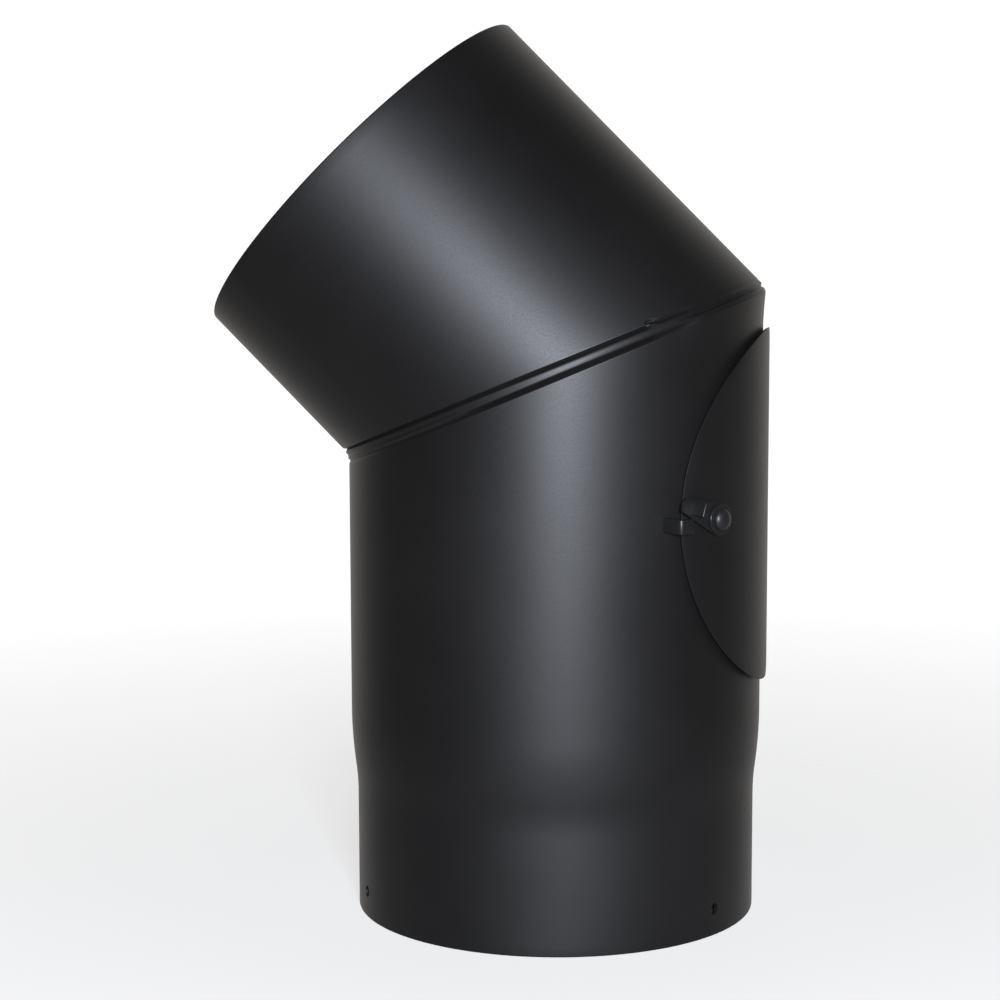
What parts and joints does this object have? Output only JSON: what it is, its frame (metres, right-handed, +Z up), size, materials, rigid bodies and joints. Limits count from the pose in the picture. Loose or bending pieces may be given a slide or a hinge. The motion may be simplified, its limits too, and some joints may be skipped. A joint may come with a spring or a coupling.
{
  "type": "flue elbow",
  "caption": "Black sheet-steel stove-pipe elbow at 45 degrees with a reduced spigot, a plain socket end and a hinged round inspection door with a swivel latch.",
  "frame": {"origin": "centre of the spigot's bottom rim, on the lower leg's axis", "axes": "+Z up the lower leg's axis, +X to the heel side that holds the door, the upper leg leans towards -X, -Y is the latch side"},
  "size_m": [0.2051, 0.1548, 0.3272],
  "materials": {
    "stove_black": "matt to satin heat-resistant black coating",
    "dark_steel": "dark oxidised steel",
    "gasket_fibre": "pressed mineral fibre"
  },
  "bodies": {
    "elbow": {"lower_leg": "stove_black", "upper_leg": "stove_black", "hinge_pipe_leaf": "stove_black", "hinge_pin": "dark_steel", "hinge_rivet_pipe_upper": "stove_black", "hinge_rivet_pipe_lower": "stove_black", "latch_keeper": "stove_black", "keeper_rivet": "dark_steel"},
    "door": {"door_plate": "stove_black", "door_liner": "dark_steel", "door_gasket": "gasket_fibre", "hinge_door_leaf": "stove_black", "hinge_rivet_door_upper": "stove_black", "hinge_rivet_door_lower": "stove_black", "latch_pivot_rivet": "stove_black", "latch_spring_washer": "dark_steel", "latch_washer": "stove_black"},
    "latch": {"latch_lever": "stove_black"}
  },
  "joints": [
    {"name": "door_hinge", "type": "hinge", "parent": "elbow", "child": "door", "pos_m": [0.05162, 0.06112, 0.153], "axis": [0, 0, 1], "range_deg": [0, 120]},
    {"name": "latch_turn", "type": "hinge", "parent": "door", "child": "latch", "pos_m": [0.06524, -0.0463, 0.153], "axis": [0.8155, -0.5788, 0], "range_deg": [-70, 22]}
  ]
}
